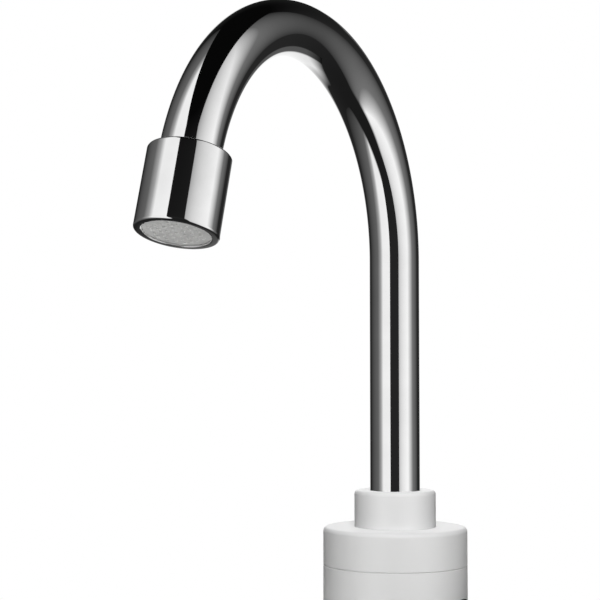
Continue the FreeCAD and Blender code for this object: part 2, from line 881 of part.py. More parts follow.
def cover_screws():
    screws = []
    for y, z in cover_screws_at:
        head = rod_x(1.6, cover_end - 1.4, cover_end, y, handle_z + z)
        stem = rod_x(0.85, cover_end - 0.5, valve_end_x + 5.5, y, handle_z + z)
        mid = handle_z + z
        slot = box(cover_end - 3, cover_end - 0.8, y - 1.1, y + 1.1, mid - 0.25, mid + 0.25)
        screws.append(head.fuse(stem).cut(slot))
    return screws


def switch_plunger():
    head = rod_x(5.0, plunger_head_x - head_thickness, plunger_head_x, 0, handle_z)
    stem = rod_x(2.0, stem_end, plunger_head_x - 0.5, 0, handle_z)
    return head.fuse(stem).removeSplitter()


def plunger_spring():
    wire = 0.3
    coil_r = 3.3
    x0 = cavity_end + wire + touch
    x1 = plunger_head_x - head_thickness - wire - touch
    turns = 3
    edges = []
    quarter = (x1 - x0) / (turns * 8)
    last = V(x0, coil_r, 0)
    for i in range(turns * 8):
        angles = [math.radians(45 * (i + k / 2.0)) for k in range(3)]
        points = [
            V(x0 + quarter * (i + k / 2.0), coil_r * math.cos(angles[k]), coil_r * math.sin(angles[k]))
            for k in range(3)
        ]
        edges.append(Part.Arc(last, points[1], points[2]).toShape())
        last = points[2]
    path = Part.Wire(edges)
    section = Part.Wire(Part.makeCircle(wire, V(x0, coil_r, 0), V(quarter * 8, 0, 2 * math.pi * coil_r)))
    coil = path.makePipeShell([section], True, True)
    coil.translate(V(0, 0, handle_z))
    return coil


def microswitch():
    half = microswitch_length / 2
    low = handle_z - microswitch_thickness / 2
    high = handle_z + microswitch_thickness / 2
    solid = box(switch_x - microswitch_depth, switch_x, -half, half, low, high)
    solid = solid.cut(rod_x(1.3, button_end - plunger_travel - 0.95, switch_x + 1, 0, handle_z))
    for y in (-microswitch_pitch, 0.0, microswitch_pitch):
        solid = solid.fuse(box(switch_x - 5.0, switch_x - 2.0, y - 1.2, y + 1.2, low - 4.5, low + 1).cut(
            box(switch_x - 6.0, switch_x - 3.8, y - 2, y + 2, low - 6, low + 0.5)).cut(
            box(switch_x - 3.2, switch_x, y - 2, y + 2, low - 6, low + 0.5)))
    for y in (-3.25, 3.25):
        solid = solid.cut(rod_z(1.0, low - 1, high + 1, switch_x - 4.9, y))
    return solid.removeSplitter()


def microswitch_button():
    return rod_x(1.2, button_end, button_x, 0, handle_z)


# Electrics: terminal block and cord gland
def terminal_block():
    solid = box(-block_width / 2, block_width / 2, block_front, block_front + block_depth, block_base,
                block_base + block_height)
    entry = block_base + block_height - 4.0
    solid = solid.cut(rod_x(1.7, -block_width / 2 - 1, -block_width / 2 + 1.6, block_front + 5.0, entry))
    for x in (-block_pitch, 0.0, block_pitch):
        solid = solid.cut(rod_z(2.3, block_base + block_height - 5.0, block_base + block_height + 1, x,
                                block_front + 4.0))
        solid = solid.cut(rod_z(1.6, block_base + block_height - 9.0, block_base + block_height, x,
                                block_front + 4.0))
        solid = solid.cut(rod_y(1.7, block_front + 3.5, block_front + block_depth + 1, x, block_base + 4.5))
    return solid


def terminal_screws():
    top = block_base + block_height - 2.0
    screws = []
    for x in (-block_pitch, 0.0, block_pitch):
        y = block_front + 4.0
        head = rod_z(2.2, top - 3.0, top, x, y)
        stem = rod_z(1.5, top - 6.8, top - 2.5, x, y)
        slot = box(x - 2.5, x + 2.5, y - 0.35, y + 0.35, top - 1.0, top + 1)
        screws.append(head.fuse(stem).cut(slot))
    return screws


wire_r = 1.0
bend_share = 0.45


def wire_along(points):
    # Straight runs joined by tangent arcs, each as large as its two runs allow.
    corners = [V(*p) for p in points]
    edges = []
    last = corners[0]
    for i in range(1, len(corners) - 1):
        here = corners[i]
        back = corners[i - 1] - here
        ahead = corners[i + 1] - here
        reach = bend_share * min(back.Length, ahead.Length)
        back.normalize()
        ahead.normalize()
        half = back.getAngle(ahead) / 2
        radius = reach * math.tan(half)
        inward = (back + ahead).normalize()
        middle = here + inward * (radius / math.sin(half) - radius)
        edges.append(Part.LineSegment(last, here + back * reach).toShape())
        edges.append(Part.Arc(here + back * reach, middle, here + ahead * reach).toShape())
        last = here + ahead * reach
    edges.append(Part.LineSegment(last, corners[-1]).toShape())
    path = Part.Wire(edges)
    section = Part.Wire(Part.makeCircle(wire_r, corners[0], corners[1] - corners[0]))
    wire = path.makePipeShell([section], True, False)
    print("lead", round(wire.Volume / (math.pi * wire_r ** 2 * path.Length), 5), "of section times length")
    return wire


def lead_wires():
    tab_end = leg_end - 10.4
    right, left = legs_at
    round_r = neck_r + wire_r + 2.7
    pins_end = handle_z - microswitch_thickness / 2 - 5.0
    pin_x = switch_x - 3.5
    back = block_front + block_depth
    cut_y = cutout_y + 3.0
    cut_z = tank_base_z - 2.3
    cut_x = cutout_half + 3.5
    entry_x = -block_width / 2
    entry_y = block_front + 5.0
    entry_z = block_base + block_height - 4.0
    hole_z = block_base + 4.5
    under_valve = handle_z - valve_r - wire_r - 1.6

    def beside(angle, z):
        return (round_r * math.cos(math.radians(angle)), round_r * math.sin(math.radians(angle)), z)

    neutral = wire_along([
        (left[0], left[1], tab_end),
        (left[0], left[1], tab_end - 7.8),
        beside(133, tab_end - 12.3),
        beside(176, hole_z + 4.3),
        beside(219, hole_z + 1.0),
        (-block_pitch, back + 2.7, hole_z),
        (-block_pitch, back - 2.5, hole_z),
    ])
    live = wire_along([
        (pin_x, microswitch_pitch, pins_end),
        (pin_x, microswitch_pitch, pins_end - 4.6),
        (pin_x + 0.8, -3.0, entry_z + 0.4),
        (pin_x + 4.3, entry_y + 4.5, entry_z),
        (entry_x - 3.5, entry_y, entry_z),
        (entry_x + 0.8, entry_y, entry_z),
    ])
    switched = wire_along([
        (pin_x, -microswitch_pitch, pins_end),
        (pin_x, -microswitch_pitch, pins_end - 3.6),
        (pin_x + 2.3, cut_y + 5.1, pins_end - 3.6),
        (-cut_x - 3.9, cut_y, pins_end + 2.9),
        (-cut_x - 3.9, cut_y, cut_z),
        (-cut_x, cut_y, cut_z),
    ])
    load = wire_along([
        (cut_x, cut_y, cut_z),
        (cut_x + 3.3, cut_y + 1.2, cut_z),
        (cut_x + 4.1, cut_y + 2.6, cut_z - 12.9),
        (mouth_x - 4.5, -9.0, under_valve + 0.6),
        (mouth_x - 4.5, 6.0, under_valve - 0.4),
        (right[0] + 6.0, right[1], tab_end - 7.8),
        (right[0], right[1], tab_end - 6.3),
        (right[0], right[1], tab_end),
    ])
    return [neutral, live, switched, load]


gland_seat = gland_pad_out
gland_out = gland_seat + 10.0


def on_gland_axis(shape):
    # Turns a shape made about Z so that its Z runs along +Y on the gland's axis.
    moved = shape.copy()
    moved.Placement = FreeCAD.Placement(V(0, 0, gland_z), FreeCAD.Rotation(X, -90))
    return moved


def cord_gland():
    body = turned([
        (gland_bore_r + 1.1, gland_pad_in - 5.0),
        (gland_thread_r, gland_pad_in - 5.0, 0.3),
        (gland_thread_r, gland_seat),
        (gland_thread_r + 2.0, gland_seat),
        (gland_thread_r + 2.0, gland_seat + 2.4, 0.3),
        (gland_thread_r, gland_seat + 2.4),
        (gland_thread_r, gland_seat + 8.0, 0.3),
        (gland_bore_r + 1.1, gland_seat + 8.0),
    ])
    return on_gland_axis(body)


def cord_gland_nut():
    return on_gland_axis(hexagon(15.6, gland_pad_in - 3.4, gland_pad_in, gland_thread_r + fit))


def cord_gland_cap():
    return on_gland_axis(turned([
        (gland_thread_r + fit, gland_seat + 2.6),
        (gland_thread_r + 2.0, gland_seat + 2.6, 0.3),
        (gland_thread_r + 2.0, gland_out - 2.5),
        (gland_bore_r + 1.0, gland_out, 0.3),
        (gland_bore_r + 0.2, gland_out),
        (gland_bore_r + 0.2, gland_seat + 8.2),
        (gland_thread_r + fit, gland_seat + 8.2),
    ]))


def cord_gland_seal():
    return on_gland_axis(tube_z(gland_bore_r, gland_bore_r + 1.0, gland_seat - 1.0, gland_seat + 8.0))


# Inlet: shank, ring, filter and the clamping pieces under the deck
shank_ring_z = spigot_end - 5.0
filter_r = 8.0
clamp_top = -deck_thickness
clamp_mid = clamp_top - rubber_washer_thickness
nut_top = clamp_mid - steel_washer_thickness
washer_in = shank_r + 0.4
tail_length = 15.4
tail_edge = 0.8
relief_z = -shank_drop + tail_edge + tail_length


def inlet_shank():
    solid = turned([
        (filter_r + 0.2, -shank_drop),
        (shank_r, -shank_drop, tail_edge),
        (shank_r, relief_z),
        (shank_r - 0.9, relief_z + 0.4),
        (shank_r - 0.9, relief_z + 0.8),
        (shank_r, relief_z + 1.2),
        (shank_r, foot_in),
        (shank_flange_r, foot_in),
        (shank_flange_r, foot_in + shank_flange_thickness, 0.5),
        (shank_spigot_r, foot_in + shank_flange_thickness),
        (shank_spigot_r, spigot_end, 0.5),
        (shank_bore_r, spigot_end),
        (shank_bore_r, -shank_drop + 3.0),
        (filter_r + 0.2, -shank_drop + 3.0),
    ])
    groove = tube_z(shank_spigot_r - 1.95, shank_spigot_r + 1, shank_ring_z - 1.15, shank_ring_z + 1.15)
    return solid.cut(groove)


def shank_o_ring():
    return Part.makeTorus(shank_spigot_r - 0.92, 0.95, V(0, 0, shank_ring_z), Z)


def inlet_filter():
    base = -shank_drop + 0.4
    top = -shank_drop + 2.9
    rim = tube_z(shank_bore_r - 1.0, filter_r, base, top)
    mesh = rod_z(shank_bore_r - 0.5, base + 1.0, base + 1.5)
    holes = [rod_z(0.5, base, top, x, y) for x, y in hex_grid(1.45, shank_bore_r - 1.8)]
    return rim.fuse(mesh.cut(Part.makeCompound(holes))).removeSplitter()


def rubber_washer():
    return tube_z(washer_in, rubber_washer_r, clamp_mid, clamp_top)


def steel_washer():
    return tube_z(washer_in, steel_washer_r, nut_top, clamp_mid)


def mounting_nut():
    solid = hexagon(nut_across_flats, nut_top - nut_height, nut_top, shank_r + 0.08)
    corner = nut_across_flats / math.sqrt(3)
    dome = turned([
        (0, nut_top - nut_height),
        (nut_across_flats / 2 - 0.3, nut_top - nut_height),
        (corner + 0.2, nut_top - nut_height + 1.6),
        (corner + 0.2, nut_top - 1.6),
        (nut_across_flats / 2 - 0.3, nut_top),
        (0, nut_top),
    ])
    return solid.common(dome)


save("base_gasket", base_gasket())
save("base_cover", base_cover())
save("base_screws", base_screws())
save("body_shell", body_shell())
save("top_cap", top_cap())
save("handle_bezel", handle_bezel())
save("spout_collar", spout_collar())
save("spout_ferrule", spout_ferrule())
save("spout_o_rings", spout_o_rings())
save("spout_slip_ring", spout_slip_ring())
save("spout_tube", spout_tube())
save("spout_end_fitting", spout_end_fitting())
save("aerator_housing", aerator_housing())
save("aerator_gasket", aerator_gasket())
save("aerator_insert", aerator_insert())
save("outlet_screen", outlet_screen())
save("tank_cup", tank_cup())
save("port_o_ring", port_o_ring())
save("tank_lid", tank_lid())
save("tank_o_ring", tank_o_ring())
save("tank_screws", tank_screws())
save("heating_element", heating_element())
save("element_seals", element_seals())
save("element_nuts", element_nuts())
save("element_terminals", element_terminals())
save("thermal_cutout", thermal_cutout())
save("valve_body", valve_body())
save("cartridge_seal", cartridge_seal())
save("cartridge_body", cartridge_body())
save("cartridge_nut", cartridge_nut())
save("fixed_disc", fixed_disc())
save("moving_disc", moving_disc())
save("valve_spindle", valve_spindle())
save("spindle_o_ring", spindle_o_ring())
save("handle_lever", handle_lever())
save("handle_screw", handle_screw())
save("handle_screw_cap", handle_screw_cap())
save("switch_membrane", switch_membrane())
save("membrane_cover", membrane_cover())
save("cover_screws", cover_screws())
save("switch_plunger", switch_plunger())
save("plunger_spring", plunger_spring())
save("microswitch", microswitch())
save("microswitch_button", microswitch_button())
save("terminal_block", terminal_block())
save("terminal_screws", terminal_screws())
save("lead_wires", lead_wires())
save("cord_gland", cord_gland())
save("cord_gland_nut", cord_gland_nut())
save("cord_gland_cap", cord_gland_cap())
save("cord_gland_seal", cord_gland_seal())
save("inlet_shank", inlet_shank())
save("shank_o_ring", shank_o_ring())
save("inlet_filter", inlet_filter())
save("rubber_washer", rubber_washer())
save("steel_washer", steel_washer())
save("mounting_nut", mounting_nut())
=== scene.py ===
import json
import math

import bmesh
import bpy
from mathutils import Matrix, Vector

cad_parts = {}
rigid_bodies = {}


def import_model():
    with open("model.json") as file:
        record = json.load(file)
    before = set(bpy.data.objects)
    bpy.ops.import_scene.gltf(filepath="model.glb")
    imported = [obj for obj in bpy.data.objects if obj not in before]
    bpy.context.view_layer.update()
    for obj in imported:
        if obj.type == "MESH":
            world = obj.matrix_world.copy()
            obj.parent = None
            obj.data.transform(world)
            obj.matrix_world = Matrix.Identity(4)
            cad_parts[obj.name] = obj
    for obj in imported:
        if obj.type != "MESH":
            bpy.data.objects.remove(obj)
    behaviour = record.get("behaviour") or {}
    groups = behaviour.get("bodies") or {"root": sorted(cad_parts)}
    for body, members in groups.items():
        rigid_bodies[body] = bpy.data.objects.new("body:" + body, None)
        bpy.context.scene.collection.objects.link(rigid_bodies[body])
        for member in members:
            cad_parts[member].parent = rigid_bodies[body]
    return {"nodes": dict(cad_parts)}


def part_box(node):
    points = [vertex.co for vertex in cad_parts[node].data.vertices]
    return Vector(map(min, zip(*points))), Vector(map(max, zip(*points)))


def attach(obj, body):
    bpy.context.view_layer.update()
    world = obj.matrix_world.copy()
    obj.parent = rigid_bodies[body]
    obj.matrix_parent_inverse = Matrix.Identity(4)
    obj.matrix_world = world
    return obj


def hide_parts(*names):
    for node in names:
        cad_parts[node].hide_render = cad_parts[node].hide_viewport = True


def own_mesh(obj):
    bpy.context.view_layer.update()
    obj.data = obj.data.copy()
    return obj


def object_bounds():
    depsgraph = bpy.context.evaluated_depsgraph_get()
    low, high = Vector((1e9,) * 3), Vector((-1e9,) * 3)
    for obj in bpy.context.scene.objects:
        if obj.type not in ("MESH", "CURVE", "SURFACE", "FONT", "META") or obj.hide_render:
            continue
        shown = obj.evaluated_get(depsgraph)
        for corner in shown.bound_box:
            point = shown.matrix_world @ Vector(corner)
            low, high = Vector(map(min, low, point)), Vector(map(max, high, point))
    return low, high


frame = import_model()
cad_box = [list(corner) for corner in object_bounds()]

# Deck gasket: the soft ring between the tap's foot and the worktop.
# It is stamped from a sheet of black EPDM rubber and held by nothing but the clamp under the deck.
mm = 0.001
gasket_low, gasket_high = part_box("base_gasket")
gasket_bore = 12.0 * mm
gasket_edge = 0.35 * mm


def linear(hex_colour):
    parts = [int(hex_colour[i:i + 2], 16) / 255 for i in (1, 3, 5)]
    return [p / 12.92 if p <= 0.04045 else ((p + 0.055) / 1.055) ** 2.4 for p in parts] + [1.0]


def add_node(tree, kind, settings, links):
    # Settings are the node's properties, and links give its sockets a value or what feeds them.
    node = tree.nodes.new(kind)
    for name, value in settings.items():
        setattr(node, name, value)
    for name, value in links.items():
        if isinstance(value, bpy.types.NodeSocket):
            tree.links.new(value, node.inputs[name])
        else:
            node.inputs[name].default_value = value
    return node


def surface(name, colour, shade, gloss, matt, patch, detail):
    # Colour and gloss drift together over patches of one size.
    material = bpy.data.materials.new(name)
    material.use_nodes = True
    tree = material.node_tree
    shader = tree.nodes["Principled BSDF"]
    place = add_node(tree, "ShaderNodeTexCoord", {}, {}).outputs["Object"]
    drift = add_node(tree, "ShaderNodeTexNoise", {},
                     {"Vector": place, "Scale": 1 / patch, "Detail": detail})
    spread = add_node(tree, "ShaderNodeMapRange", {},
                      {"Value": drift.outputs[0], "From Min": 0.3, "From Max": 0.7})
    tint = add_node(tree, "ShaderNodeMix", {"data_type": "RGBA"},
                    {"Factor": spread.outputs[0], 6: linear(colour), 7: linear(shade)})
    tree.links.new(tint.outputs[2], shader.inputs["Base Color"])
    polish = add_node(tree, "ShaderNodeMapRange", {},
                      {"Value": spread.outputs[0], "To Min": gloss, "To Max": matt})
    tree.links.new(polish.outputs[0], shader.inputs["Roughness"])
    return material, tree, shader, place


def moulded(name, colour, shade, grain, relief, gloss, matt, ior):
    # The mould leaves an even grain, under a drift of a few centimetres.
    material, tree, shader, place = surface(name, colour, shade, gloss, matt, 24 * mm, 3.0)
    shader.inputs["IOR"].default_value = ior
    pits = add_node(tree, "ShaderNodeTexNoise", {}, {"Vector": place, "Scale": 1 / grain, "Detail": 2.0})
    bump = add_node(tree, "ShaderNodeBump", {}, {"Height": pits.outputs[0], "Distance": relief})
    tree.links.new(bump.outputs["Normal"], shader.inputs["Normal"])
    return material


def turned(profile, steps=192):
    # A closed ring of (radius, height, rounding) corners, turned about Z.
    made = bmesh.new()
    corners = [made.verts.new((radius, 0, height)) for radius, height, rounding in profile]
    for first, second in zip(corners, corners[1:] + corners[:1]):
        if first.co.x + second.co.x > 0:
            made.edges.new((first, second))
    for corner, (radius, height, rounding) in zip(corners, profile):
        if rounding:
            bmesh.ops.bevel(made, geom=[corner], offset=rounding, affect="VERTICES", segments=5,
                            profile=0.5, material=-1)
    bmesh.ops.spin(made, geom=made.verts[:] + made.edges[:], axis=(0, 0, 1), cent=(0, 0, 0),
                   angle=2 * math.pi, steps=steps, use_merge=True)
    bmesh.ops.remove_doubles(made, verts=made.verts, dist=0.0001 * mm)
    bmesh.ops.recalc_face_normals(made, faces=made.faces)
    return made


def as_object(made, name):
    mesh = bpy.data.meshes.new(name)
    made.to_mesh(mesh)
    made.free()
    thing = bpy.data.objects.new(name, mesh)
    bpy.context.scene.collection.objects.link(thing)
    return thing


def set_in_place(made, name, material, body, node, crease=40):
    # A finished piece that rides on its body and stands for its solid. Edges past the crease stay sharp.
    piece = as_object(made, name)
    piece.data.shade_smooth()
    piece.data.set_sharp_from_angle(angle=math.radians(crease))
    piece.data.materials.append(material)
    even = piece.modifiers.new("Even shading", "WEIGHTED_NORMAL")
    even.keep_sharp = True
    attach(piece, body)
    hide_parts(node)
    return piece


# EPDM rubber from sheet: nearly black, dull, with a faint cloth-like grain from the calender
black_rubber = moulded("EPDM rubber, black sheet", "#1b1b1c", "#262627", 0.5 * mm, 0.03 * mm,
                       0.62, 0.78, 1.52)
set_in_place(turned([
    (gasket_bore, gasket_low.z, gasket_edge),
    (gasket_high.x, gasket_low.z, gasket_edge),
    (gasket_high.x, gasket_high.z, gasket_edge),
    (gasket_bore, gasket_high.z, gasket_edge),
]), "Deck_gasket", black_rubber, "body", "base_gasket")

# Foot: the white cover that closes the body from below, with a rim that stands a little proud of it.
# It is injection moulded in ABS, and four screws hold it, in pockets that the gasket hides.
# White ABS from a fine-grained mould: bright, half glossy, softly lit along its edges
white_abs = moulded("ABS, white, moulded", "#eeeeee", "#ebebeb", 0.9 * mm, 0.0008 * mm, 0.40, 0.44, 1.53)


def skin_of(node):
    # A merged copy of the solid's own skin.
    made = bmesh.new()
    made.from_mesh(frame["nodes"][node].data)
    bmesh.ops.remove_doubles(made, verts=made.verts, dist=0.001 * mm)
    return made


def skinned(node, name, material, body, crease=25):
    # A piece with its solid's own skin, in its real finish.
    return set_in_place(skin_of(node), name, material, body, node, crease)


skinned("base_cover", "Foot_cover", white_abs, "body")

# Body shell: the white barrel round the heater, with a hole for the handle and a pad for the cord's gland.
# It is one ABS moulding that stands on the foot, and its top edge is bevelled for the seam with the cap.
shell_low, shell_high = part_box("body_shell")
bezel_low, bezel_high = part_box("handle_bezel")
shell_r = shell_high.x
shell_wall = 2.6 * mm
shell_bevel = 0.35 * mm
shell_foot_edge = 0.5 * mm
handle_z = (bezel_low.z + bezel_high.z) / 2
handle_hole_r = 20.1 * mm
gland_low, gland_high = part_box("cord_gland")
gland_z = (gland_low.z + gland_high.z) / 2
gland_hole_r = 6.5 * mm
gland_pad_r = 9.5 * mm
gland_pad_root = shell_r - 4.8 * mm
gland_hole_start = 15 * mm
handle_hole_start = 5 * mm
clear_of_shell = 40 * mm
shell_rows = 28


def rod(radius, start, end, sides=128):
    # A closed bar between two points.
    made = bmesh.new()
    way = end - start
    bmesh.ops.create_cone(made, cap_ends=True, segments=sides, radius1=radius, radius2=radius,
                          depth=way.length)
    turn = Vector((0, 0, 1)).rotation_difference(way).to_matrix().to_4x4()
    bmesh.ops.transform(made, matrix=Matrix.Translation((start + end) / 2) @ turn, verts=made.verts)
    return made


def combined(base, *steps):
    # The base with each (operation, tool) applied in turn.
    blank = as_object(base, "Blank")
    tools = []
    for operation, made in steps:
        tools.append(as_object(made, "Tool"))
        change = blank.modifiers.new(operation, "BOOLEAN")
        change.operation = operation
        change.object = tools[-1]
        change.solver = "EXACT"
    graph = bpy.context.evaluated_depsgraph_get()
    made = bmesh.new()
    made.from_mesh(blank.evaluated_get(graph).to_mesh())
    for thing in [blank] + tools:
        mesh = thing.data
        bpy.data.objects.remove(thing)
        bpy.data.meshes.remove(mesh)
    bmesh.ops.remove_doubles(made, verts=made.verts, dist=0.001 * mm)
    return made


shell_profile = [(shell_r - shell_wall, shell_low.z, 0), (shell_r, shell_low.z, shell_foot_edge)]
for row in range(1, shell_rows):
    height = shell_low.z + (shell_high.z - shell_bevel - shell_low.z) * row / shell_rows
    shell_profile.append((shell_r, height, 0))
shell_profile += [
    (shell_r, shell_high.z - shell_bevel, 0),
    (shell_r - shell_bevel, shell_high.z, 0),
    (shell_r - shell_wall, shell_high.z, 0),
]
shell = combined(
    turned(shell_profile),
    ("UNION", rod(gland_pad_r, Vector((0, gland_pad_root, gland_z)),
                  Vector((0, shell_high.y, gland_z)))),
    ("DIFFERENCE", rod(gland_hole_r, Vector((0, gland_hole_start, gland_z)),
                       Vector((0, clear_of_shell, gland_z)))),
    ("DIFFERENCE", rod(handle_hole_r, Vector((handle_hole_start, 0, handle_z)),
                       Vector((clear_of_shell, 0, handle_z)), 192)),
)
set_in_place(shell, "Body_shell", white_abs, "body", "body_shell", 25)

# Handle bezel: the dark ring that lies flush in the barrel round the handle's hub.
# It is a separate ABS moulding in a satin charcoal, pushed in from inside and kept by its flange.
# Dark ABS with a spark-eroded grain: charcoal, satin, with small broken highlights
dark_abs = moulded("ABS, charcoal, satin moulded", "#2e2f31", "#38393b", 0.6 * mm, 0.02 * mm,
                   0.42, 0.52, 1.53)
skinned("handle_bezel", "Handle_bezel", dark_abs, "body")

# Top cap: the white lid that closes the barrel and leaves a fine shadow line above it.
# It is moulded in the same ABS, clips over the barrel's rim and has a softly rounded shoulder.
cap_low, cap_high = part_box("top_cap")
cap_r = cap_high.x
cap_step = 1.3 * mm
cap_seam = 0.06 * mm
cap_bore = 13.2 * mm
cap_seam_edge = 0.25 * mm
cap_shoulder = 1.8 * mm
cap_row = 4 * mm
cap_under = cap_high.z - 2.8 * mm
set_in_place(turned([
    (cap_bore, cap_under, 0),
    (cap_r - shell_wall, cap_under, 1.0 * mm),
    (cap_r - shell_wall, cap_low.z, 0),
    (cap_r - cap_step, cap_low.z, 0),
    (cap_r - cap_step, cap_low.z + cap_seam, 0),
    (cap_r, cap_low.z + cap_seam, cap_seam_edge),
    (cap_r, cap_low.z + cap_row, 0),
    (cap_r, cap_high.z, cap_shoulder),
    (cap_r - cap_row, cap_high.z, 0),
    (cap_bore, cap_high.z, 0),
]), "Top_cap", white_abs, "body", "top_cap")

# Spout collar: the white sleeve nut that holds the spout down on the heater's spigot.
# It is a thick ABS moulding with an inner lip over the slip ring, screwed down by hand.
collar_low, collar_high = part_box("spout_collar")
collar_r = collar_high.x
collar_lip_z = collar_high.z - 2.8 * mm
collar_thread_r = 13.15 * mm
collar_shoulder = 1.6 * mm
wall_row = 3 * mm
pipe_low, pipe_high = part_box("spout_tube")
pipe_r = pipe_high.x
pipe_hole_r = pipe_r + 0.1 * mm
# White ABS from a polished mould: glossier than the barrel's, and its whiter colour is painted light,
# standing in for the brighter light on the collar's top
glossy_abs_painted_lighter = moulded("ABS, white, polished mould, painted lighter", "#f6f6f6", "#f3f3f3", 0.9 * mm, 0.0008 * mm,
                     0.30, 0.34, 1.53)
set_in_place(turned([
    (collar_thread_r, collar_low.z, 0),
    (collar_r, collar_low.z, 0),
    (collar_r, collar_low.z + wall_row, 0),
    (collar_r, collar_high.z, collar_shoulder),
    (pipe_hole_r, collar_high.z, 0.3 * mm),
    (pipe_hole_r, collar_lip_z, 0),
    (collar_thread_r, collar_lip_z, 0),
]), "Spout_collar", glossy_abs_painted_lighter, "body", "spout_collar")

# Spout tube: the gooseneck, which swivels in the collar.
# It is one steel tube bent over a former through 163.5 degrees, polished and chrome plated.
pipe_wall = 0.8 * mm
bend_radius = 77.6 * mm
bend_angle = math.radians(163.5)
pipe_tail = 13.0 * mm
bend_z = pipe_high.z - bend_radius - pipe_r
pipe_sides = 96
bend_steps = 144
spout_end = Vector((0, -bend_radius * (1 - math.cos(bend_angle)),
                    bend_z + bend_radius * math.sin(bend_angle)))
at_spout_end = Matrix.Translation(spout_end) @ Matrix.Rotation(bend_angle, 4, "X")


def plated(name, colour, shade, gloss, matt, wave, relief):
    # A mirror that is a touch duller in places, with the faintest wave from polishing.
    material, tree, shader, place = surface(name, colour, shade, gloss, matt, 12 * mm, 4.0)
    shader.inputs["Metallic"].default_value = 1.0
    swell = add_node(tree, "ShaderNodeTexNoise", {}, {"Vector": place, "Scale": 1 / wave, "Detail": 1.0})
    bump = add_node(tree, "ShaderNodeBump", {}, {"Height": swell.outputs[0], "Distance": relief})
    tree.links.new(bump.outputs["Normal"], shader.inputs["Normal"])
    return material


# Bright chrome on polished steel: a cool mirror with clean, hard-edged reflections
chromed_steel = plated("Chrome plate on polished steel", "#d5d5d5", "#cfcfcf", 0.025, 0.05,
                       15 * mm, 0.004 * mm)
pipe = bmesh.new()
bmesh.ops.create_circle(pipe, segments=pipe_sides, radius=pipe_r)
bmesh.ops.translate(pipe, vec=(0, 0, pipe_low.z), verts=pipe.verts)
rim = pipe.edges[:]
for share in (0.25, 0.5, 0.75, 1.0):
    grown = bmesh.ops.extrude_edge_only(pipe, edges=rim)["geom"]
    ring = [part for part in grown if isinstance(part, bmesh.types.BMVert)]
    rim = [part for part in grown if isinstance(part, bmesh.types.BMEdge)]
    for vert in ring:
        vert.co.z = pipe_low.z + (bend_z - pipe_low.z) * share
bent = bmesh.ops.spin(pipe, geom=ring + rim, axis=(1, 0, 0), cent=(0, -bend_radius, bend_z),
                      angle=bend_angle, steps=bend_steps)["geom_last"]
rim = [part for part in bent if isinstance(part, bmesh.types.BMEdge)]
grown = bmesh.ops.extrude_edge_only(pipe, edges=rim)["geom"]
ring = [part for part in grown if isinstance(part, bmesh.types.BMVert)]
bmesh.ops.translate(pipe, vec=at_spout_end.to_3x3() @ Vector((0, 0, pipe_tail)), verts=ring)
bmesh.ops.remove_doubles(pipe, verts=pipe.verts, dist=0.001 * mm)
bmesh.ops.recalc_face_normals(pipe, faces=pipe.faces)
outward = Vector((1, 1, 0))
if sum(face.normal.dot(face.calc_center_median() * outward) for face in pipe.faces[:pipe_sides]) < 0:
    bmesh.ops.reverse_faces(pipe, faces=pipe.faces)
bmesh.ops.solidify(pipe, geom=pipe.faces[:], thickness=pipe_wall)
spout = set_in_place(pipe, "Spout_tube", chromed_steel, "spout", "spout_tube", 60)
spout.modifiers["Even shading"].mode = "CORNER_ANGLE"

# Spout end: a ring brazed to the tube and the housing that screws over it and holds the outlet.
# Both are die-cast in zinc, turned, polished and chrome plated, with narrow rounded edges.
housing_r = 13.6 * mm
housing_bore = housing_r - 1.9 * mm
housing_top = -1.7 * mm
housing_end = housing_top + 27.1 * mm
lip_r = housing_bore - 0.5 * mm
lip_top = housing_end - 1.2 * mm
fitting_r = housing_bore - 0.1 * mm
fitting_top = housing_top + 0.3 * mm
fitting_end = pipe_tail + 1.2 * mm
fitting_gap = 0.05 * mm
fitting_mouth_r = pipe_r - pipe_wall - 0.6 * mm
housing_top_edge = 0.8 * mm
housing_end_edge = 0.7 * mm
lip_edge = 0.15 * mm
# Bright chrome on die-cast zinc: the same cool mirror, a little softer than on steel
chromed_zinc = plated("Chrome plate on die-cast zinc", "#d4d4d4", "#cccccc", 0.03, 0.06, 8 * mm, 0.004 * mm)
housing = turned([
    (housing_bore, housing_top, 0.3 * mm),
    (housing_r, housing_top, housing_top_edge),
    (housing_r, housing_top + wall_row, 0),
    (housing_r, housing_end - wall_row, 0),
    (housing_r, housing_end, housing_end_edge),
    (lip_r, housing_end, lip_edge),
    (lip_r, lip_top, 0),
    (housing_bore, lip_top, 0),
])
bmesh.ops.transform(housing, matrix=at_spout_end, verts=housing.verts)
set_in_place(housing, "Aerator_housing", chromed_zinc, "spout", "aerator_housing")
fitting = turned([
    (pipe_r + fitting_gap, fitting_top, 0),
    (fitting_r, fitting_top, 0.3 * mm),
    (fitting_r, fitting_end, 0.3 * mm),
    (fitting_mouth_r, fitting_end, 0),
    (fitting_mouth_r, pipe_tail + fitting_gap, 0),
    (pipe_r + fitting_gap, pipe_tail + fitting_gap, 0),
])
bmesh.ops.transform(fitting, matrix=at_spout_end, verts=fitting.verts)
set_in_place(fitting, "Spout_end_fitting", chromed_zinc, "spout", "spout_end_fitting")

